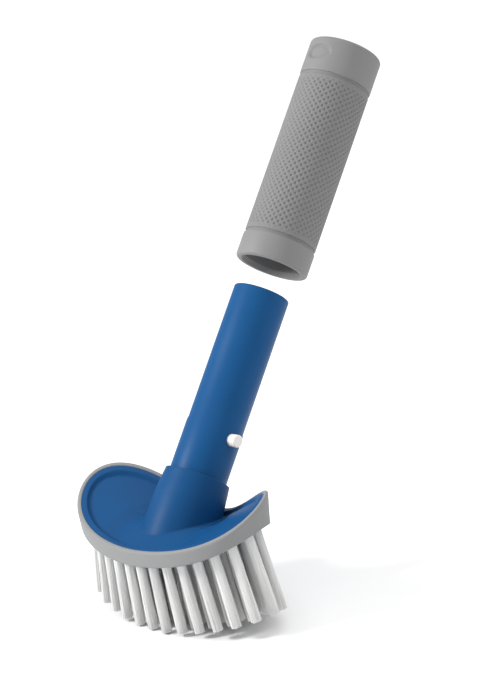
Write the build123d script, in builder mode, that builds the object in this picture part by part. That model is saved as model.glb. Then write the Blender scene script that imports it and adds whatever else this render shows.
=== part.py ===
"""Pool wall brush: a bent oval head with bristle tufts, a spigot tube with a snap button, and a
slide-on hand grip that stands pulled off the tube, in line with it. Millimetres.

Frame: the origin is under the middle of the head, on the end of the middle tuft. +Z points from
the bristle tips to the head, X runs along the head and the tube leans back towards +Y."""

import os
from math import asin, cos, hypot, pi, radians, sin, tan

from build123d import *

# Head: an oval block whose two ends sweep upwards, more at the back than at the front
HEAD_A = 58.4  # half length of the blue block
HEAD_B = 29.6  # half depth of the blue block
BLOCK_THICK = 7.7  # at the middle of the head
TUFT_FREE = 35.8  # free length of the middle tuft
TOP_RISE = 18.0  # how far the top has risen at the ends
TOP_SKEW = 13.0  # added to that rise at the back edge, taken off it at the front edge
BEND_WIDTH = 18.0  # how wide the soft bend in the middle is
UNDER_RISE = 13.6  # how far the underside has risen at the ends
UNDER_SKEW = 4.2
LIP_WIDTH = 3.2  # raised lip round the dished top
DISH_DEPTH = 2.0
CROWN = ((38.0, 25.5, 0.0), (27.0, 18.0, 3.6), (13.5, 9.0, 6.1))  # half sizes and height of its ovals
RIM_WALL = 2.4  # soft rim round the block
RIM_PROUD = 0.2  # how far the rim stands above the lip
REACH_X, REACH_Y = 72.0, 40.0  # half size of the sheets that trim the head
TRIM_FLOOR, COLUMN_HIGH = -10.0, 120.0  # well below and well above the head
CROWN_SINK = 0.1  # how far the crown starts inside the dish floor
STATIONS = 12  # spans of each trimming curve

# Tufts stand in rings that follow the outline, and fan out slightly towards the ends
TUFT_R = 2.65
TUFT_PITCH = 9.0
RING_INSET = 5.4
RING_STEP = 7.75
RING_SAMPLES = 720  # points tried round each ring
HOLE_DEPTH = 4.2
FAN_RADIUS = 250.0
RAKE = 3.5  # degrees: the tips lean towards +Y
TIP_RISE = 9.8  # the tips are trimmed to a gentle arc that rises this far at the ends
CENTRE_ROW = 7
STAPLE_WIDE, STAPLE_THICK, STAPLE_HIGH = 4.9, 0.5, 1.6

# Tube and its socket, measured along the tube's axis from the top of the block
TUBE_LEAN = 37.0  # degrees from +Z towards +Y
TUBE_Y = 4.3  # where the axis meets the top of the block
TUBE_R = 14.1
ROOT_R = 14.4  # the tube is a touch thicker up to just past the button
ROOT_END, ROOT_EASE = 50.3, 1.0  # where that stretch ends, and the taper after it
TUBE_BORE_R = 11.25
TUBE_START, TUBE_END = 8.0, 121.3
SOCKET_START, SOCKET_FLARE, SOCKET_END = -18.0, 11.0, 24.9
SOCKET_FOOT_R, SOCKET_R = 17.8, 16.3
TUBE_EDGE = 0.8  # rounding of the tube's free end
OVERCUT = 1.0  # how far a cut runs past an open end

# Snap button and the leaf spring behind it
BUTTON_AT = 45.8
BUTTON_R = 3.1
BUTTON_HOLE_R = 3.25
BUTTON_BACK, FLANGE_FRONT, BUTTON_FACE = 8.6, 10.0, 18.85  # distances from the tube's axis
FLANGE_R = 4.5
BUTTON_EDGE = 0.6
LEAF_THICK, LEAF_WIDE, LEAF_CORNER = 0.8, 7.0, 3.0
LEAF_FRONT, LEAF_REAR = 8.1, -10.2
LEAF_END, LEAF_BEND, LEAF_TIP = 38.0, 54.0, 92.0

# Hand grip, measured along the same axis from its mouth
GRIP_GAP = 14.0  # from the tube's end to the grip's mouth
GRIP_LENGTH = 118.0
GRIP_R = 18.5
GRIP_BORE_R = 14.4
GRIP_MOUTH_R = 15.5
GRIP_FLOOR = 4.0
GRIP_LEAD_IN = 2.6  # length of the widening at the mouth
GRIP_END_EDGE, GRIP_MOUTH_EDGE = 3.0, 1.2  # rounding of the closed end and of the mouth
SEAT_R = 16.9  # where the soft sleeve sits
GROOVE_R = 17.6  # floor of the open groove at each end of the sleeve
SEAT_START, SEAT_END = 12.4, 99.6
GROOVE = 1.7  # width of that groove
SLEEVE_R = 18.3
POCKET_AT, POCKET_RX, POCKET_RY, POCKET_DEPTH = 109.6, 7.6, 4.0, 2.6

TOP_Z = TUFT_FREE + BLOCK_THICK
AXIS = Vector(0, sin(radians(TUBE_LEAN)), cos(radians(TUBE_LEAN)))
UPPER_SIDE = Vector(0, -cos(radians(TUBE_LEAN)), sin(radians(TUBE_LEAN)))
os.makedirs("parts", exist_ok=True)


# ---------------------------------------------------------------- head shape
def bend(x):
    """0 in the middle and 1 at the ends: a soft bend between two nearly straight wings."""
    return (hypot(1, x / BEND_WIDTH) - 1) / (hypot(1, HEAD_A / BEND_WIDTH) - 1)


def top_height(x, y):
    return TOP_Z + (TOP_RISE + TOP_SKEW * y / HEAD_B) * bend(x)


def dish_height(x, y):
    return top_height(x, y) - DISH_DEPTH


def rim_height(x, y):
    return top_height(x, y) + RIM_PROUD


def under_height(x, y):
    return TUFT_FREE + (UNDER_RISE + UNDER_SKEW * y / HEAD_B) * (x / HEAD_A) ** 2


def below(height):
    """A block whose top is the sheet height(x, y), ruled from front to back."""
    xs = [REACH_X * (2 * i / STATIONS - 1) for i in range(STATIONS + 1)]
    with BuildPart() as block:
        for y in (-REACH_Y, REACH_Y):
            with BuildSketch(Plane.XZ.offset(-y)):
                with BuildLine():
                    edge = Spline(*[(x, height(x, y)) for x in xs])
                    Polyline(edge @ 0, (-REACH_X, TRIM_FLOOR), (REACH_X, TRIM_FLOOR), edge @ 1)
                make_face()
        loft(ruled=True)
    return block.part


def oval_column(inset):
    """The head's outline, drawn in by inset, as a tall column."""
    with BuildPart() as column:
        with BuildSketch(Plane.XY):
            Ellipse(HEAD_A - inset, HEAD_B - inset)
        extrude(amount=COLUMN_HIGH)
    return column.part


lip_column, block_column, rim_column = oval_column(LIP_WIDTH), oval_column(0), oval_column(-RIM_WALL)
dish_block, top_block, rim_block = below(dish_height), below(top_height), below(rim_height)
under_block = below(under_height)


# ---------------------------------------------------------------- tuft layout
def ring_points(half_x, half_y):
    """Points evenly spaced round an ellipse, starting at its front."""
    angles = [2 * pi * i / RING_SAMPLES - pi / 2 for i in range(RING_SAMPLES + 1)]
    outline = [(half_x * cos(a), half_y * sin(a)) for a in angles]
    along = [0.0]
    for (x0, y0), (x1, y1) in zip(outline, outline[1:]):
        along.append(along[-1] + hypot(x1 - x0, y1 - y0))
    count = 2 * round(along[-1] / TUFT_PITCH / 2)
    marks = [along[-1] * i / count for i in range(count)]
    return [outline[min(range(RING_SAMPLES), key=lambda k: abs(along[k] - m))] for m in marks]


def tuft_line(x, y):
    """The middle of a tuft's tip, the direction up the tuft, and its length into the block."""
    up = Vector(-tan(asin(x / FAN_RADIUS)), -tan(radians(RAKE)), 1).normalized()
    tip_z = TIP_RISE * (x / (HEAD_A - RING_INSET)) ** 2
    length = (under_height(x, y) - tip_z) / up.Z
    tip = Vector(x, y, under_height(x, y)) - up * length
    return tip, up, length + HOLE_DEPTH


def tuft(x, y):
    """One tuft, from its trimmed tip to the bottom of its hole."""
    tip, up, length = tuft_line(x, y)
    with BuildPart() as bundle:
        with BuildSketch(Plane.XY.offset(tip.Z)):
            with Locations((tip.X, tip.Y)):
                Circle(TUFT_R)
        extrude(amount=length, dir=up)
    return bundle.part


def staple(x, y):
    """The flat metal anchor that holds one tuft at the bottom of its hole."""
    tip, up, length = tuft_line(x, y)
    floor = tip + up * length
    with BuildPart() as anchor:
        with BuildSketch(Plane.XY.offset(floor.Z)):
            with Locations((floor.X, floor.Y)):
                Rectangle(STAPLE_THICK, STAPLE_WIDE)
        extrude(amount=STAPLE_HIGH, dir=-up)
    return anchor.part


rings = [
    ring_points(HEAD_A - RING_INSET - RING_STEP * i, HEAD_B - RING_INSET - RING_STEP * i)
    for i in range(3)
]
tuft_rows = {
    f"{name}_{side}": [p for p in ring if (p[1] < 0) == (side == "front")]
    for name, ring in zip(("outer", "middle", "inner"), rings)
    for side in ("front", "back")
}
tuft_rows["centre"] = [
    (TUFT_PITCH * (i - (CENTRE_ROW - 1) / 2), 0.0) for i in range(CENTRE_ROW)
]
bundles = {row: [tuft(*p) for p in points] for row, points in tuft_rows.items()}
anchors = {row: [staple(*p) for p in points] for row, points in tuft_rows.items()}


# ---------------------------------------------------------------- tube's own planes
def axis_point(s):
    return Vector(0, TUBE_Y, TOP_Z) + AXIS * s


def across(s):
    """The plane square to the tube's axis at s, with its own x along +X."""
    return Plane(origin=axis_point(s), x_dir=(1, 0, 0), z_dir=AXIS)


def side_on(s):
    """The plane through the tube's axis that also holds +X: its own y runs up the axis."""
    return Plane(origin=axis_point(s), x_dir=(1, 0, 0), z_dir=UPPER_SIDE)


button_plane = Plane(origin=axis_point(BUTTON_AT), x_dir=AXIS, z_dir=(1, 0, 0))

# ---------------------------------------------------------------- head base
with BuildPart() as dish:
    add(lip_column)
    add(dish_block, mode=Mode.SUBTRACT)

with BuildPart() as head_base:
    add(block_column)
    add(top_block, mode=Mode.INTERSECT)
    add(dish.part, mode=Mode.SUBTRACT)
    for half_x, half_y, rise in CROWN:
        with BuildSketch(Plane.XY.offset(TOP_Z - DISH_DEPTH - CROWN_SINK + rise)):
            Ellipse(half_x, half_y)
    loft()
    for start, end, r_start, r_end in (
        (SOCKET_START, SOCKET_FLARE, SOCKET_FOOT_R, SOCKET_FOOT_R),
        (SOCKET_FLARE, SOCKET_END, SOCKET_FOOT_R, SOCKET_R),
    ):
        with BuildSketch(across(start)):
            Circle(r_start)
        with BuildSketch(across(end)):
            Circle(r_end)
        loft()
    add(under_block, mode=Mode.SUBTRACT)
    with BuildSketch(across(TUBE_START)):
        Circle(ROOT_R)
    extrude(amount=SOCKET_END - TUBE_START + OVERCUT, mode=Mode.SUBTRACT)
    add([bundle for row in bundles.values() for bundle in row], mode=Mode.SUBTRACT)
head_base.part.label = "head_base"
export_step(head_base.part, "parts/head_base.step")

# ---------------------------------------------------------------- soft rim
with BuildPart() as rim_bumper:
    add(rim_column)
    add(rim_block, mode=Mode.INTERSECT)
    add(under_block, mode=Mode.SUBTRACT)
    add(block_column, mode=Mode.SUBTRACT)
rim_bumper.part.label = "rim_bumper"
export_step(rim_bumper.part, "parts/rim_bumper.step")

# ---------------------------------------------------------------- tufts and their staples
for row in tuft_rows:
    with BuildPart() as staples:
        add(anchors[row])
    with BuildPart() as tufts:
        add(bundles[row])
        add(anchors[row], mode=Mode.SUBTRACT)
    tufts.part.label = f"tufts_{row}"
    export_step(tufts.part, f"parts/tufts_{row}.step")
    staples.part.label = f"staples_{row}"
    export_step(staples.part, f"parts/staples_{row}.step")

# ---------------------------------------------------------------- handle tube
with BuildPart() as handle_tube:
    with BuildSketch(across(TUBE_START)):
        Circle(ROOT_R)
    extrude(amount=ROOT_END - TUBE_START)
    with BuildSketch(across(ROOT_END)):
        Circle(ROOT_R)
    with BuildSketch(across(ROOT_END + ROOT_EASE)):
        Circle(TUBE_R)
    loft()
    with BuildSketch(across(ROOT_END + ROOT_EASE)):
        Circle(TUBE_R)
    extrude(amount=TUBE_END - ROOT_END - ROOT_EASE)
    with BuildSketch(across(TUBE_START)):
        Circle(TUBE_BORE_R)
    extrude(amount=TUBE_END - TUBE_START, mode=Mode.SUBTRACT)
    top_edges = handle_tube.edges().filter_by(GeomType.CIRCLE).sort_by(Axis.Z)[-2:]
    fillet(top_edges.sort_by(lambda e: e.radius)[-1], radius=TUBE_EDGE)
    with BuildSketch(button_plane):
        Circle(BUTTON_HOLE_R)
    extrude(amount=2 * TUBE_R, mode=Mode.SUBTRACT)
handle_tube.part.label = "handle_tube"
export_step(handle_tube.part, "parts/handle_tube.step")

# ---------------------------------------------------------------- snap button and leaf spring
with BuildPart() as snap_button:
    with BuildSketch(button_plane.offset(BUTTON_BACK)):
        Circle(FLANGE_R)
    extrude(amount=FLANGE_FRONT - BUTTON_BACK)
    with BuildSketch(button_plane.offset(BUTTON_BACK)):
        Circle(BUTTON_R)
    extrude(amount=BUTTON_FACE - BUTTON_BACK)
    chamfer(snap_button.edges().filter_by(GeomType.CIRCLE).sort_by(Axis.X)[-1], length=BUTTON_EDGE)
snap_button.part.label = "snap_button"
export_step(snap_button.part, "parts/snap_button.step")

with BuildPart() as leaf_spring:
    with BuildSketch(side_on(0)):
        with BuildLine():
            FilletPolyline(
                (LEAF_FRONT, LEAF_END),
                (LEAF_FRONT, LEAF_BEND),
                ((LEAF_FRONT + LEAF_REAR) / 2, LEAF_TIP),
                (LEAF_REAR, LEAF_BEND),
                (LEAF_REAR, LEAF_END),
                radius=LEAF_CORNER,
            )
        trace(line_width=LEAF_THICK)
    extrude(amount=LEAF_WIDE / 2, both=True)
leaf_spring.part.label = "leaf_spring"
export_step(leaf_spring.part, "parts/leaf_spring.step")

# ---------------------------------------------------------------- hand grip
GRIP_START = TUBE_END + GRIP_GAP
grip_side = side_on(GRIP_START)
grip_axis = Axis(axis_point(GRIP_START), AXIS)

with BuildPart() as grip_core:
    with BuildSketch(grip_side):
        with BuildLine():
            Polyline(
                (0, GRIP_LENGTH - GRIP_FLOOR),
                (GRIP_BORE_R, GRIP_LENGTH - GRIP_FLOOR),
                (GRIP_BORE_R, GRIP_LEAD_IN),
                (GRIP_MOUTH_R, 0),
                (GRIP_R, 0),
                (GRIP_R, SEAT_START),
                (GROOVE_R, SEAT_START),
                (GROOVE_R, SEAT_START + GROOVE),
                (SEAT_R, SEAT_START + GROOVE),
                (SEAT_R, SEAT_END - GROOVE),
                (GROOVE_R, SEAT_END - GROOVE),
                (GROOVE_R, SEAT_END),
                (GRIP_R, SEAT_END),
                (GRIP_R, GRIP_LENGTH),
                (0, GRIP_LENGTH),
                close=True,
            )
        make_face()
    revolve(axis=grip_axis)
    rings_of = grip_core.edges().filter_by(GeomType.CIRCLE).group_by(Axis(axis_point(0), AXIS))
    fillet(rings_of[-1], radius=GRIP_END_EDGE)
    fillet(rings_of[0].sort_by(lambda e: e.radius)[-1], radius=GRIP_MOUTH_EDGE)
    pocket = Plane(
        origin=axis_point(GRIP_START + POCKET_AT) + UPPER_SIDE * GRIP_R,
        x_dir=(1, 0, 0),
        z_dir=UPPER_SIDE,
    )
    with BuildSketch(pocket.offset(-POCKET_DEPTH)):
        Ellipse(POCKET_RX, POCKET_RY)
    extrude(amount=2 * POCKET_DEPTH, mode=Mode.SUBTRACT)
grip_core.part.label = "grip_core"
export_step(grip_core.part, "parts/grip_core.step")

with BuildPart() as grip_sleeve:
    with BuildSketch(across(GRIP_START + SEAT_START + GROOVE)):
        Circle(SLEEVE_R)
        Circle(SEAT_R, mode=Mode.SUBTRACT)
    extrude(amount=SEAT_END - SEAT_START - 2 * GROOVE)
grip_sleeve.part.label = "grip_sleeve"
export_step(grip_sleeve.part, "parts/grip_sleeve.step")
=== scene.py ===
"""Looks of the pool wall brush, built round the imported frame. Shapes are worked out in millimetres."""

import math
import random

import bmesh
import bpy
import numpy as np
from mathutils import Matrix, Vector


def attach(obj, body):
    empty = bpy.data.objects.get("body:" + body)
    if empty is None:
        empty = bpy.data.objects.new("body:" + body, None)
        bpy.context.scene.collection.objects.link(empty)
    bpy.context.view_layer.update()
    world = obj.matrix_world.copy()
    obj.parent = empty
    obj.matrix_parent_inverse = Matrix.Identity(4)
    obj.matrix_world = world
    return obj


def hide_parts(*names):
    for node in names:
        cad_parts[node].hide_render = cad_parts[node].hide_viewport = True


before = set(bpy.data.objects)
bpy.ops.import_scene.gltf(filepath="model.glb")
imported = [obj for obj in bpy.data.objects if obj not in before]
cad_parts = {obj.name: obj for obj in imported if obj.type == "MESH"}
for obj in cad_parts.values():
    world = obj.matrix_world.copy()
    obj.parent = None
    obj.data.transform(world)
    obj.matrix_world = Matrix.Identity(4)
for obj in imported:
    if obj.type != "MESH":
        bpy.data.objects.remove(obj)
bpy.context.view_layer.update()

MM = 0.001
TAU = 2 * math.pi

# ---------------------------------------------------------------- the head's shape, as in the CAD
HEAD_A, HEAD_B = 58.4, 29.6
BLOCK_THICK, TUFT_FREE = 7.7, 35.8
TOP_Z = TUFT_FREE + BLOCK_THICK
TOP_RISE, TOP_SKEW, BEND_WIDTH = 18.0, 13.0, 18.0
UNDER_RISE, UNDER_SKEW = 13.6, 4.2
LIP_WIDTH, DISH_DEPTH = 3.2, 2.0
CROWN_X, CROWN_Y, CROWN_RISE = 38.0, 25.5, 6.9
CROWN_BLEND, CROWN_REACH = 2.4, 6.0  # how softly the swell joins the dish floor
RIM_WALL, RIM_PROUD, FOOT_TUCK = 2.4, 0.2, 2.4
TUFT_R, TUFT_PITCH, RING_INSET, RING_STEP = 2.65, 9.0, 5.4, 7.75
FAN_RADIUS, RAKE, TIP_RISE, CENTRE_ROW = 250.0, 3.5, 9.8, 7

LEAN = math.radians(37.0)
AXIS = Vector((0, math.sin(LEAN), math.cos(LEAN)))
UPPER = Vector((0, -math.cos(LEAN), math.sin(LEAN)))
SIDE = Vector((1, 0, 0))
TUBE_Y = 4.3
TUBE_R, ROOT_R, ROOT_END, ROOT_EASE = 14.1, 14.4, 50.3, 1.0
TUBE_BORE_R, TUBE_START, TUBE_END = 11.25, 8.0, 121.3
SOCKET_R, SOCKET_FOOT_R, SOCKET_FLARE, SOCKET_END = 16.3, 17.8, 11.0, 24.9
BUTTON_AT, BUTTON_R, BUTTON_HOLE_R = 45.8, 3.1, 3.25
BUTTON_BACK, FLANGE_FRONT, BUTTON_FACE, FLANGE_R = 8.6, 10.0, 18.85, 4.5
GRIP_GAP = 14.0  # from the tube's end to the grip's mouth
GRIP_START = TUBE_END + GRIP_GAP
GRIP_LENGTH, GRIP_R, GRIP_BORE_R, GRIP_MOUTH_R, GRIP_FLOOR = 118.0, 18.5, 14.4, 15.5, 4.0
GRIP_LEAD_IN = 2.6
SEAT_R, SEAT_START, SEAT_END, GROOVE = 16.9, 12.4, 99.6, 1.7
GROOVE_R, SLEEVE_R = 17.6, 18.3
POCKET_AT, POCKET_RX, POCKET_RY, POCKET_DEPTH = 109.6, 8.0, 4.2, 1.3


def bend(x):
    top = math.hypot(1, HEAD_A / BEND_WIDTH) - 1
    return (math.hypot(1, x / BEND_WIDTH) - 1) / top


def top_height(x, y):
    return TOP_Z + (TOP_RISE + TOP_SKEW * y / HEAD_B) * bend(x)


def under_height(x, y):
    return TUFT_FREE + (UNDER_RISE + UNDER_SKEW * y / HEAD_B) * (x / HEAD_A) ** 2


def axis_point(s):
    return Vector((0, TUBE_Y, TOP_Z)) + AXIS * s


def smooth(low, high, value):
    t = min(max((value - low) / (high - low), 0.0), 1.0)
    return t * t * (3 - 2 * t)


# ---------------------------------------------------------------- mesh helpers
def piece(name, verts, faces, material, body, slot, nodes=(), sharp=35.0):
    """A mesh object from millimetre points, riding on a body and standing for CAD nodes."""
    mesh = bpy.data.meshes.new(name)
    mesh.from_pydata([tuple(c * MM for c in v) for v in verts], [], faces)
    mesh.validate()
    mesh.update()
    obj = bpy.data.objects.new(name, mesh)
    bpy.context.scene.collection.objects.link(obj)
    mesh.materials.append(material)
    turn_outwards(obj)
    mesh.shade_smooth()
    mesh.set_sharp_from_angle(angle=math.radians(sharp))
    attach(obj, body)
    if nodes:
        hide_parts(*nodes)
    return obj


def turn_outwards(obj):
    work = bmesh.new()
    work.from_mesh(obj.data)
    bmesh.ops.recalc_face_normals(work, faces=work.faces)
    work.to_mesh(obj.data)
    work.free()


def loops(rings, closed=True, caps=(False, False)):
    """Faces between equal rings of points. closed joins the last ring back to the first."""
    count, verts = len(rings[0]), [p for ring in rings for p in ring]
    faces = []
    spans = len(rings) if closed else len(rings) - 1
    for i in range(spans):
        a, b = i * count, ((i + 1) % len(rings)) * count
        faces += [(a + j, a + (j + 1) % count, b + (j + 1) % count, b + j) for j in range(count)]
    if caps[0]:
        faces.append(tuple(range(count))[::-1])
    if caps[1]:
        faces.append(tuple(range(len(verts) - count, len(verts))))
    return verts, faces


def around(base, u, v, count):
    """A function that gives the ring of a radius at a station along a straight axis."""
    turns = [(math.cos(TAU * j / count), math.sin(TAU * j / count)) for j in range(count)]

    def ring(radius, station):
        at = base(station)
        return [at + (u * c + v * s) * radius for c, s in turns]
    return ring


def rounded(profile, steps=5):
    """A closed or open (r, s, fillet) profile with each corner of a fillet over 0 rounded."""
    out = []
    for i, (r, s, fillet) in enumerate(profile):
        here = Vector((r, s))
        if not fillet:
            out.append((r, s))
            continue
        before = Vector(profile[i - 1][:2]) - here
        after = Vector(profile[(i + 1) % len(profile)][:2]) - here
        half = before.angle(after) / 2
        reach = min(fillet / math.tan(half), before.length * 0.49, after.length * 0.49)
        p0, p2 = here + before.normalized() * reach, here + after.normalized() * reach
        bulge = math.sin(half)
        for t in (k / steps for k in range(steps + 1)):
            w0, w1, w2 = (1 - t) ** 2, 2 * t * (1 - t) * bulge, t * t
            spot = (p0 * w0 + here * w1 + p2 * w2) / (w0 + w1 + w2)
            out.append((spot.x, spot.y))
    return out


# ---------------------------------------------------------------- materials
def shader(name, colour, roughness, **sockets):
    material = bpy.data.materials.new(name)
    material.use_nodes = True
    tree = material.node_tree
    main = tree.nodes["Principled BSDF"]
    main.inputs["Base Color"].default_value = (*colour, 1)
    main.inputs["Roughness"].default_value = roughness
    for socket, value in sockets.items():
        main.inputs[socket.replace("_", " ")].default_value = value
    return material, tree, main


def noise(tree, scale, detail=4.0, rough=0.55, stretch=(1, 1, 1)):
    place = tree.nodes.new("ShaderNodeTexCoord")
    mapping = tree.nodes.new("ShaderNodeMapping")
    mapping.inputs["Scale"].default_value = stretch
    texture = tree.nodes.new("ShaderNodeTexNoise")
    texture.inputs["Scale"].default_value = scale
    texture.inputs["Detail"].default_value = detail
    texture.inputs["Roughness"].default_value = rough
    tree.links.new(place.outputs["Object"], mapping.inputs["Vector"])
    tree.links.new(mapping.outputs["Vector"], texture.inputs["Vector"])
    return texture.outputs["Fac"]


def ramp(tree, fac, *stops):
    node = tree.nodes.new("ShaderNodeValToRGB")
    ends = node.color_ramp.elements
    while len(ends) < len(stops):
        ends.new(0.5)
    for end, (spot, colour) in zip(ends, stops):
        end.position = spot
        end.color = (*colour, 1)
    tree.links.new(fac, node.inputs["Fac"])
    return node.outputs["Color"]


def bump(tree, main, fac, strength, distance):
    node = tree.nodes.new("ShaderNodeBump")
    node.inputs["Strength"].default_value = strength
    node.inputs["Distance"].default_value = distance
    tree.links.new(fac, node.inputs["Height"])
    tree.links.new(node.outputs["Normal"], main.inputs["Normal"])


def varied(tree, main, colour, spread, scale, rough_range, stretch=(1, 1, 1)):
    """Slight cloudiness in the colour and in the roughness."""
    cloud = noise(tree, scale, stretch=stretch)
    low = tuple(c * (1 - spread) for c in colour)
    high = tuple(min(1.0, c * (1 + spread)) for c in colour)
    tree.links.new(ramp(tree, cloud, (0.3, low), (0.7, high)), main.inputs["Base Color"])
    a, b = rough_range
    tree.links.new(ramp(tree, cloud, (0.3, (a, a, a)), (0.7, (b, b, b))), main.inputs["Roughness"])


def moulded(name, colour, rough_range, grain=900.0, grain_depth=0.00004, spread=0.04, **sockets):
    """Moulded plastic: faint cloudiness and a fine spark-eroded grain."""
    material, tree, main = shader(name, colour, rough_range[0], **sockets)
    varied(tree, main, colour, spread, 28.0, rough_range)
    bump(tree, main, noise(tree, grain, 3.0), 0.35, grain_depth)
    return material


BLUE_HEAD = moulded("head_blue", (0.005, 0.058, 0.170), (0.46, 0.54), Specular_IOR_Level=0.10)
BLUE_TUBE = moulded("tube_blue", (0.006, 0.066, 0.190), (0.40, 0.48), 1400.0, Specular_IOR_Level=0.11)
RIM_GREY = moulded("rim_grey", (0.218, 0.220, 0.222), (0.62, 0.72), 1100.0, Specular_IOR_Level=0.25)
GRIP_GREY = moulded("grip_grey", (0.20, 0.20, 0.202), (0.52, 0.60), 1000.0, Specular_IOR_Level=0.25)
SLEEVE_GREY = moulded("sleeve_grey", (0.19, 0.19, 0.192), (0.60, 0.70), 1500.0, Specular_IOR_Level=0.2)
BUTTON_WHITE = moulded("button_white", (0.74, 0.715, 0.68), (0.35, 0.42), 1500.0, 0.00002, 0.02)


def bristle_material():
    material, tree, main = shader("bristle_white", (0.66, 0.66, 0.66), 0.42)
    varied(tree, main, (0.66, 0.66, 0.655), 0.06, 260.0, (0.38, 0.52), (1, 1, 0.08))
    main.inputs["Subsurface Weight"].default_value = 0.15
    main.inputs["Subsurface Radius"].default_value = (0.001, 0.001, 0.001)
    return material


def steel_material(name, colour):
    material, tree, main = shader(name, colour, 0.3, Metallic=1.0)
    streaks = noise(tree, 700.0, 3.0, stretch=(1, 0.05, 0.05))
    tree.links.new(ramp(tree, streaks, (0.3, (0.25,) * 3), (0.7, (0.42,) * 3)), main.inputs["Roughness"])
    return material


BRISTLE = bristle_material()
SPRING_STEEL = steel_material("spring_steel", (0.60, 0.60, 0.61))
STAPLE_STEEL = steel_material("staple_metal", (0.62, 0.62, 0.60))


# ---------------------------------------------------------------- head base
def oval(angle, inset=0.0):
    return (HEAD_A - inset) * math.cos(angle), (HEAD_B - inset) * math.sin(angle)


def dish_drop(inset):
    """How far below the top surface the dished face lies, inset millimetres inside the outline."""
    return DISH_DEPTH * smooth(LIP_WIDTH - 0.55, LIP_WIDTH + 1.15, inset)


def upper_face(x, y, inset):
    """The block's upper face: lip, step down, and dish."""
    step = dish_drop(inset) / DISH_DEPTH
    return top_height(x, y) * (1 - step) + dish_floor(x, y) * step


def dish_floor(x, y):
    """The dish's floor, faired into the gentle swell in its middle that the socket rises from."""
    floor = top_height(x, y) - DISH_DEPTH
    swell = TOP_Z - DISH_DEPTH + CROWN_RISE * (1 - (x / CROWN_X) ** 2 - (y / CROWN_Y) ** 2)
    gap = swell - floor
    ease = smooth(-CROWN_REACH, 0, gap) * (1 - smooth(0, CROWN_REACH, gap))
    return floor + (math.hypot(gap, CROWN_BLEND) + gap) / 2 - CROWN_BLEND / 2 * ease


def tuck(angle, x, y, z):
    """How far the head's side leans in at the two ends, most at its foot."""
    most = FOOT_TUCK * math.cos(angle) ** 4 * math.copysign(1, x)
    return most * (1 - smooth(under_height(x, y), top_height(x, y), z))


def make_head_block():
    """The upswept block: soft lip edge, ledge and dish on top, plain wall, and the underside."""
    count = 256
    angles = [TAU * j / count for j in range(count)]
    rings = []

    def level(inset, height):
        ring = []
        for angle in angles:
            x, y = oval(angle, inset)
            z = height(x, y)
            ring.append(Vector((x - (tuck(angle, x, y, z) if inset < 5 else 0), y, z)))
        rings.append(ring)

    level(18.0, under_height)
    for inset in (10.0, 4.0, 0.4):
        level(inset, under_height)
    level(0.0, lambda x, y: under_height(x, y) + 0.4)
    for share in (0.2, 0.4, 0.6, 0.8):
        level(0.0, lambda x, y, k=share: under_height(x, y) * (1 - k) + top_height(x, y) * k)
    for turn in (0.0, 0.3, 0.6, 0.8, 1.0):
        inset = 0.5 * (1 - math.cos(turn * math.pi / 2))
        drop = 0.5 * (1 - math.sin(turn * math.pi / 2))
        level(inset, lambda x, y, k=drop: top_height(x, y) - k)
    insets = [0.9, 1.5, 2.1, 2.5, 2.75, 3.0, 3.25, 3.5, 3.75, 4.0, 4.25, 4.5, 5.0, 5.6]
    insets += [6.5 + 1.5 * k for k in range(16)]
    for inset in insets:
        level(inset, lambda x, y, k=inset: upper_face(x, y, k))
    verts, faces = loops(rings, closed=False)
    verts, faces = close_middle(verts, faces, count, 0, under_height)
    start = (len(rings) - 1) * count
    return close_middle(verts, faces, count, start, dish_floor)


def close_middle(verts, faces, count, start, height):
    """Fill an oval ring with shrinking copies of itself that keep to a surface."""
    ring = verts[start:start + count]
    previous = list(range(start, start + count))
    for share in (0.8, 0.6, 0.4, 0.2):
        first = len(verts)
        verts += [Vector((p.x * share, p.y * share, height(p.x * share, p.y * share))) for p in ring]
        current = list(range(first, first + count))
        faces += [
            (previous[j], previous[(j + 1) % count], current[(j + 1) % count], current[j])
            for j in range(count)
        ]
        previous = current
    verts.append(Vector((0, 0, height(0, 0))))
    centre = len(verts) - 1
    faces += [(previous[j], previous[(j + 1) % count], centre) for j in range(count)]
    return verts, faces


def socket_radius(s):
    if s <= SOCKET_FLARE:
        return SOCKET_FOOT_R
    share = (s - SOCKET_FLARE) / (SOCKET_END - SOCKET_FLARE)
    return SOCKET_FOOT_R + (SOCKET_R - SOCKET_FOOT_R) * share


def dish_surface(x, y):
    """Height of the block's upper face at a point, lip included."""
    return upper_face(x, y, oval_inset(x, y))


def oval_inset(x, y):
    """The inset whose shrunken oval passes through a point."""
    low, high = -20.0, HEAD_B - 0.01
    for _ in range(40):
        middle = (low + high) / 2
        inside = (x / (HEAD_A - middle)) ** 2 + (y / (HEAD_B - middle)) ** 2 < 1
        low, high = (middle, high) if inside else (low, middle)
    return low


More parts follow.
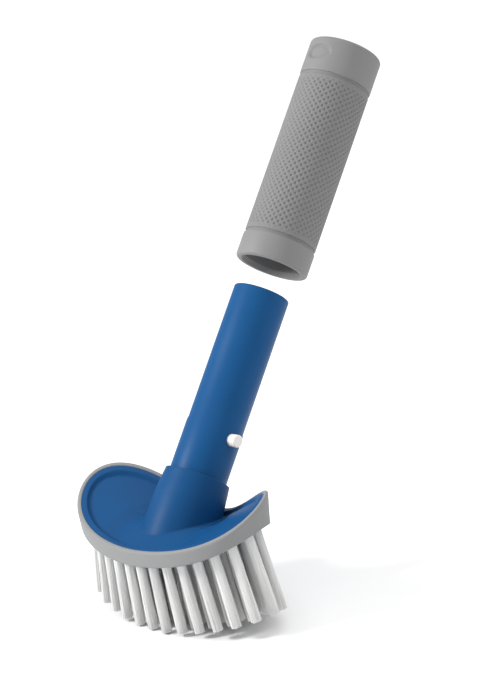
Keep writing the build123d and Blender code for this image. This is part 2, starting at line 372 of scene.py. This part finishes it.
def make_socket():
    """The flared socket: bore, collar and wall, run down to the dish and faired into it."""
    count, fair = 160, 1.2
    turns = [TAU * j / count for j in range(count)]
    outward = [SIDE * math.cos(t) + UPPER * math.sin(t) for t in turns]
    feet = []
    for way in outward:
        low, high = -14.0, SOCKET_END - 0.5
        for _ in range(40):
            s = (low + high) / 2
            p = axis_point(s) + way * socket_radius(s)
            above = p.z > dish_surface(p.x, p.y)
            low, high = (low, s) if above else (s, high)
        feet.append(low)
    rings = []
    for k in range(7):
        t = k / 6
        ring = []
        for way, foot in zip(outward, feet):
            corner = axis_point(foot) + way * socket_radius(foot)
            up_s = foot + fair
            upper = axis_point(up_s) + way * socket_radius(up_s)
            flat = Vector((way.x, way.y, 0)).normalized()
            out = corner + flat * fair
            out.z = dish_surface(out.x, out.y) - 0.06
            spot = out * (1 - t) ** 2 + corner * 2 * t * (1 - t) + upper * t * t
            ring.append(spot)
        rings.append(ring)
    for share in (0.2, 0.4, 0.6, 0.8):
        ring = []
        for way, foot in zip(outward, feet):
            s = foot + fair + (SOCKET_END - 0.9 - foot - fair) * share
            ring.append(axis_point(s) + way * socket_radius(s))
        rings.append(ring)
    collar = rounded([
        (SOCKET_R + 0.05, SOCKET_END - 0.9, 0), (SOCKET_R, SOCKET_END, 0.45),
        (ROOT_R + 0.02, SOCKET_END, 0.3), (ROOT_R + 0.02, SOCKET_END - 3, 0),
        (ROOT_R + 0.02, TUBE_START + 1, 0)])
    for radius, s in collar:
        rings.append([axis_point(s) + way * radius for way in outward])
    return loops(rings, closed=False, caps=(True, True))


piece("head_block", *make_head_block(), BLUE_HEAD, "brush", "head_blue", ("head_base",), 50)
piece("tube_socket", *make_socket(), BLUE_HEAD, "brush", "head_blue", ("head_base",), 50)


# ---------------------------------------------------------------- soft rim
def rim_section(x0, y0, x1, y1):
    """The rim's section between two points of its inner and outer outline, bottom to top."""
    foot_in, foot_out = under_height(x0, y0), under_height(x1, y1)
    head_in, head_out = top_height(x0, y0) + RIM_PROUD, top_height(x1, y1) + RIM_PROUD
    outer = [(RIM_WALL, foot_out + (head_out - foot_out) * k, 0) for k in (0.25, 0.4, 0.55, 0.7)]
    inner = [(0.0, head_in + (foot_in - head_in) * k, 0) for k in (0.3, 0.5, 0.7)]
    corners = [(0.0, foot_in, 0.3), (RIM_WALL, foot_out, 1.0), *outer]
    corners += [(RIM_WALL, head_out, 1.5), (0.0, head_in, 0.6), *inner]
    return rounded(corners, 6)


def sweep_rim(count=320):
    sections = []
    for j in range(count):
        angle = TAU * j / count
        x0, y0 = HEAD_A * math.cos(angle), HEAD_B * math.sin(angle)
        x1, y1 = (HEAD_A + RIM_WALL) * math.cos(angle), (HEAD_B + RIM_WALL) * math.sin(angle)
        section = []
        for across, z in rim_section(x0, y0, x1, y1):
            k = across / RIM_WALL
            pull = tuck(angle, x0 + (x1 - x0) * k, y0 + (y1 - y0) * k, z)
            section.append(Vector((x0 + (x1 - x0) * k - pull, y0 + (y1 - y0) * k, z)))
        sections.append(section)
    return loops([list(ring) for ring in zip(*sections)])


piece("rim_band", *sweep_rim(), RIM_GREY, "brush", "rim_grey", ("rim_bumper",), 50)


# ---------------------------------------------------------------- tufts
def ring_points(half_x, half_y):
    steps = 720
    angles = [TAU * i / steps - math.pi / 2 for i in range(steps + 1)]
    outline = [(half_x * math.cos(a), half_y * math.sin(a)) for a in angles]
    along = [0.0]
    for (x0, y0), (x1, y1) in zip(outline, outline[1:]):
        along.append(along[-1] + math.hypot(x1 - x0, y1 - y0))
    count = 2 * round(along[-1] / TUFT_PITCH / 2)
    marks = [along[-1] * i / count for i in range(count)]
    return [outline[min(range(steps), key=lambda k: abs(along[k] - m))] for m in marks]


def tuft_rows():
    rows = {}
    for i, name in enumerate(("outer", "middle", "inner")):
        inset = RING_INSET + RING_STEP * i
        ring = ring_points(HEAD_A - inset, HEAD_B - inset)
        rows[f"{name}_front"] = [p for p in ring if p[1] < 0]
        rows[f"{name}_back"] = [p for p in ring if not p[1] < 0]
    rows["centre"] = [(TUFT_PITCH * (i - (CENTRE_ROW - 1) / 2), 0.0) for i in range(CENTRE_ROW)]
    return rows


def packing(radius, filament):
    """Centres of filaments packed in rings inside a round bundle."""
    spots, layers = [(0.0, 0.0)], 4
    for layer in range(1, layers + 1):
        count = 6 * layer
        reach = (radius - filament) * layer / layers
        twist = 0.3 * layer
        spots += [
            (reach * math.cos(TAU * k / count + twist), reach * math.sin(TAU * k / count + twist))
            for k in range(count)
        ]
    return spots


def make_tufts(points, dice):
    """Bundles of filaments: tight at the root, slightly splayed and crimped below, cut uneven."""
    sides, filament, stations = 5, 0.31, 6
    verts, faces = [], []
    for x, y in points:
        up = Vector((-math.tan(math.asin(x / FAN_RADIUS)), -math.tan(math.radians(RAKE)), 1)).normalized()
        tip_z = TIP_RISE * (x / (HEAD_A - RING_INSET)) ** 2
        root = Vector((x, y, under_height(x, y)))
        free = (root.z - tip_z) / up.z
        u = up.cross(Vector((0, 1, 0))).normalized()
        v = up.cross(u)
        stray = Vector((dice.uniform(-0.35, 0.35), dice.uniform(-0.35, 0.35)))
        for a, b in packing(TUFT_R - 0.1, filament):
            depth = free - dice.uniform(0.0, 0.45)
            swing, phase = dice.uniform(0.02, 0.08), dice.uniform(0, TAU)
            splay = dice.uniform(0.97, 1.05)
            for k in range(stations):
                t = k / (stations - 1)
                grip = 0.90 + (splay - 0.90) * smooth(0.0, 0.9, t)
                wave = swing * math.sin(phase + 7.0 * t)
                da, db = a * grip + wave + stray.x * t * t, b * grip + wave * 0.6 + stray.y * t * t
                centre = root + up * (1.2 * (1 - t) - depth * t) + u * da + v * db
                thin = filament * (1.0 if k < stations - 1 else 0.82)
                for j in range(sides):
                    turn = TAU * j / sides + phase
                    verts.append(centre + (u * math.cos(turn) + v * math.sin(turn)) * thin)
            first = len(verts) - sides * stations
            for k in range(stations - 1):
                base = first + k * sides
                faces += [
                    (base + j, base + (j + 1) % sides, base + sides + (j + 1) % sides, base + sides + j)
                    for j in range(sides)
                ]
            faces.append(tuple(range(first, first + sides))[::-1])
            faces.append(tuple(range(len(verts) - sides, len(verts))))
    return verts, faces


dice = random.Random(7)
for row, points in tuft_rows().items():
    verts, faces = make_tufts(points, dice)
    piece(f"bristles_{row}", verts, faces, BRISTLE, "brush", "bristle_white", (f"tufts_{row}",), 60)
    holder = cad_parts[f"staples_{row}"]
    holder.data.materials.clear()
    holder.data.materials.append(STAPLE_STEEL)


# ---------------------------------------------------------------- tube, button, spring
def make_tube():
    """The tube's wall, a closed ring of section, with its open end rounded."""
    section = rounded([
        (TUBE_BORE_R, TUBE_START, 0), (ROOT_R, TUBE_START, 0), (ROOT_R, 30.0, 0), (ROOT_R, ROOT_END, 0),
        (TUBE_R, ROOT_END + ROOT_EASE, 0), (TUBE_R, 90.0, 0), (TUBE_R, TUBE_END, 0.8),
        (TUBE_BORE_R, TUBE_END, 0.5), (TUBE_BORE_R, 80.0, 0), (TUBE_BORE_R, 40.0, 0)])
    ring = around(axis_point, SIDE, UPPER, 160)
    return loops([ring(r, s) for r, s in section])


tube = piece("tube_wall", *make_tube(), BLUE_TUBE, "brush", "tube_blue", ("handle_tube",), 40)


def button_point(distance):
    return axis_point(BUTTON_AT) + SIDE * distance


def make_button():
    section = rounded([
        (FLANGE_R, BUTTON_BACK, 0), (FLANGE_R, FLANGE_FRONT, 0.3), (BUTTON_R, FLANGE_FRONT, 0),
        (BUTTON_R, BUTTON_FACE, 0.55), (BUTTON_R * 0.55, BUTTON_FACE, 0)])
    ring = around(button_point, AXIS, UPPER, 64)
    return loops([ring(r, s) for r, s in section], closed=False, caps=(True, True))


piece("button_pin", *make_button(), BUTTON_WHITE, "button", "button_white", ("snap_button",), 40)


def drill_button_hole():
    """Cut the button's round hole through the tube's wall on +X."""
    ring = around(button_point, AXIS, UPPER, 64)
    verts, faces = loops([ring(BUTTON_HOLE_R, 5.0), ring(BUTTON_HOLE_R, 20.0)], False, (True, True))
    mesh = bpy.data.meshes.new("drill")
    mesh.from_pydata([tuple(c * MM for c in v) for v in verts], [], faces)
    drill = bpy.data.objects.new("drill", mesh)
    bpy.context.scene.collection.objects.link(drill)
    turn_outwards(drill)
    cut = tube.modifiers.new("hole", "BOOLEAN")
    cut.object, cut.operation, cut.solver = drill, "DIFFERENCE", "EXACT"
    graph = bpy.context.evaluated_depsgraph_get()
    result = bpy.data.meshes.new_from_object(tube.evaluated_get(graph))
    tube.modifiers.clear()
    tube.data = result
    bpy.data.objects.remove(drill)
    result.shade_smooth()
    result.set_sharp_from_angle(angle=math.radians(40))


drill_button_hole()
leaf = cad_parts["leaf_spring"]
leaf.data.materials.clear()
leaf.data.materials.append(SPRING_STEEL)


# ---------------------------------------------------------------- grip
def pocket_depth(angle, s):
    """The oval dent on the grip's upper side, near its far end. angle is measured from UPPER."""
    across = GRIP_R * angle / POCKET_RX
    along = (s - GRIP_START - POCKET_AT) / POCKET_RY
    return POCKET_DEPTH * (1 - smooth(0.80, 1.04, math.hypot(across, along)))


def make_grip():
    """The grip's moulded core: bore, rolled mouth, bands, grooves, dent and closed far end."""
    count = 300
    near, far = GRIP_START, GRIP_START + GRIP_LENGTH
    corners = [
        (GRIP_BORE_R, far - GRIP_FLOOR, 1.5), (GRIP_BORE_R, near + 60, 0), (GRIP_BORE_R, near + GRIP_LEAD_IN, 0.8),
        (GRIP_MOUTH_R + 0.1, near, 0.5), (GRIP_R, near, 1.3), (GRIP_R, near + SEAT_START, 0.35),
        (GROOVE_R, near + SEAT_START, 0.25), (GROOVE_R, near + SEAT_START + GROOVE, 0),
        (SEAT_R, near + SEAT_START + GROOVE, 0), (SEAT_R, near + SEAT_END - GROOVE, 0),
        (GROOVE_R, near + SEAT_END - GROOVE, 0), (GROOVE_R, near + SEAT_END, 0.25),
        (GRIP_R, near + SEAT_END, 0.35)]
    section = rounded(corners)
    top_band = [(GRIP_R, near + SEAT_END + 0.6 + 0.28 * k) for k in range(52)]
    section += [p for p in top_band if p[1] < far - 3.1]
    section += rounded([(GRIP_R, far - 3.05, 0), (GRIP_R, far, 3.0), (GRIP_R * 0.5, far, 0)], 12)[1:]
    ring = around(axis_point, UPPER, SIDE, count)
    rings = []
    for r, s in section:
        points = ring(r, s)
        if s > near + SEAT_END and r > GRIP_R * 0.8:
            for j, point in enumerate(points):
                angle = TAU * j / count
                angle = angle - TAU if angle > math.pi else angle
                way = UPPER * math.cos(angle) + SIDE * math.sin(angle)
                points[j] = point - way * pocket_depth(angle, s)
        rings.append(points)
    return loops(rings, closed=False, caps=(True, True))


def make_sleeve():
    """The soft sleeve: a lattice of small round dimples, smooth at both ends."""
    around_count, per_cell = 36, 10
    near, far = GRIP_START + SEAT_START + GROOVE, GRIP_START + SEAT_END - GROOVE
    cells = round((far - near) / (TAU * SLEEVE_R / around_count))
    count, rows = around_count * per_cell, cells * per_cell
    s = np.linspace(near + 0.35, far - 0.35, rows + 1)
    turn = np.arange(count) * TAU / count
    wave = np.cos(turn * around_count)[None, :] * np.cos((s - near) * TAU * cells / (far - near))[:, None]
    edge = np.clip((wave - 0.10) / 0.62, 0, 1)
    dimple = edge * edge * (3 - 2 * edge)
    fade = np.clip(np.minimum(s - near, far - s) / 2.4 - 0.35, 0, 1)[:, None]
    radius = SLEEVE_R - 0.50 * dimple * fade
    rings = [[Vector(axis_point(near)) + (UPPER * math.cos(t) + SIDE * math.sin(t)) * r for t in turn]
             for r in (SEAT_R + 0.02, SLEEVE_R - 0.35)]
    ways = [UPPER * math.cos(t) + SIDE * math.sin(t) for t in turn]
    for i, station in enumerate(s):
        at = axis_point(float(station))
        rings.append([at + way * float(r) for way, r in zip(ways, radius[i])])
    rings += [[Vector(axis_point(far)) + way * r for way in ways] for r in (SLEEVE_R - 0.35, SEAT_R + 0.02)]
    return loops(rings)


piece("grip_body", *make_grip(), GRIP_GREY, "grip", "grip_grey", ("grip_core",), 50)
piece("grip_cover", *make_sleeve(), SLEEVE_GREY, "grip", "sleeve_grey", ("grip_sleeve",), 70)


# ---------------------------------------------------------------- floor, light, camera
def make_floor():
    size = 6.0
    mesh = bpy.data.meshes.new("floor")
    corners = [(-size, -size), (size, -size), (size, size), (-size, size)]
    mesh.from_pydata([(x, y, -0.0005) for x, y in corners], [], [(0, 1, 2, 3)])
    floor = bpy.data.objects.new("floor", mesh)
    bpy.context.scene.collection.objects.link(floor)
    material, _, _ = shader("floor_white", (0.92, 0.92, 0.92), 0.9)
    mesh.materials.append(material)


def area_light(name, place, target, size, power):
    data = bpy.data.lights.new(name, "AREA")
    data.shape, data.size, data.energy = "DISK", size, power
    lamp = bpy.data.objects.new(name, data)
    lamp.location = place
    lamp.rotation_mode = "QUATERNION"
    lamp.rotation_quaternion = (Vector(target) - Vector(place)).to_track_quat("-Z", "Y")
    bpy.context.scene.collection.objects.link(lamp)


def top_light(strength):
    """A broad soft light from overhead, which keeps the floor white."""
    data = bpy.data.lights.new("overhead", "SUN")
    data.energy, data.angle = strength, math.radians(70)
    lamp = bpy.data.objects.new("overhead", data)
    lamp.rotation_euler = (math.radians(-14), math.radians(10), 0)
    bpy.context.scene.collection.objects.link(lamp)


def make_world(strength):
    world = bpy.data.worlds.new("studio")
    world.use_nodes = True
    background = world.node_tree.nodes["Background"]
    background.inputs["Color"].default_value = (1, 1, 1, 1)
    background.inputs["Strength"].default_value = strength
    bpy.context.scene.world = world


def make_camera():
    """The camera stands to the right and in front, a little above, and rolled to one side."""
    right = Vector((0.6871, 0.7141, -0.1338))
    down = Vector((0.0894, -0.2658, -0.9599))
    forward = Vector((-0.7210, 0.6476, -0.2464))
    data = bpy.data.cameras.new("camera")
    data.sensor_width, data.lens = 36.0, 117.33
    data.clip_start, data.clip_end = 0.05, 50.0
    camera = bpy.data.objects.new("camera", data)
    turn = Matrix((right, -down, -forward)).transposed()
    camera.matrix_world = Matrix.Translation(Vector((779.91, -634.96, 387.51)) * MM) @ turn.to_4x4()
    bpy.context.scene.collection.objects.link(camera)
    bpy.context.scene.camera = camera


make_floor()
make_world(0.55)
area_light("key", (-0.70, -1.00, 0.85), (0.0, 0.05, 0.1), 0.40, 22.0)
area_light("rim_light", (1.0, 0.9, 0.5), (0.0, 0.1, 0.12), 0.5, 0.8)
top_light(1.9)
make_camera()
bpy.context.scene.view_settings.view_transform = "Standard"
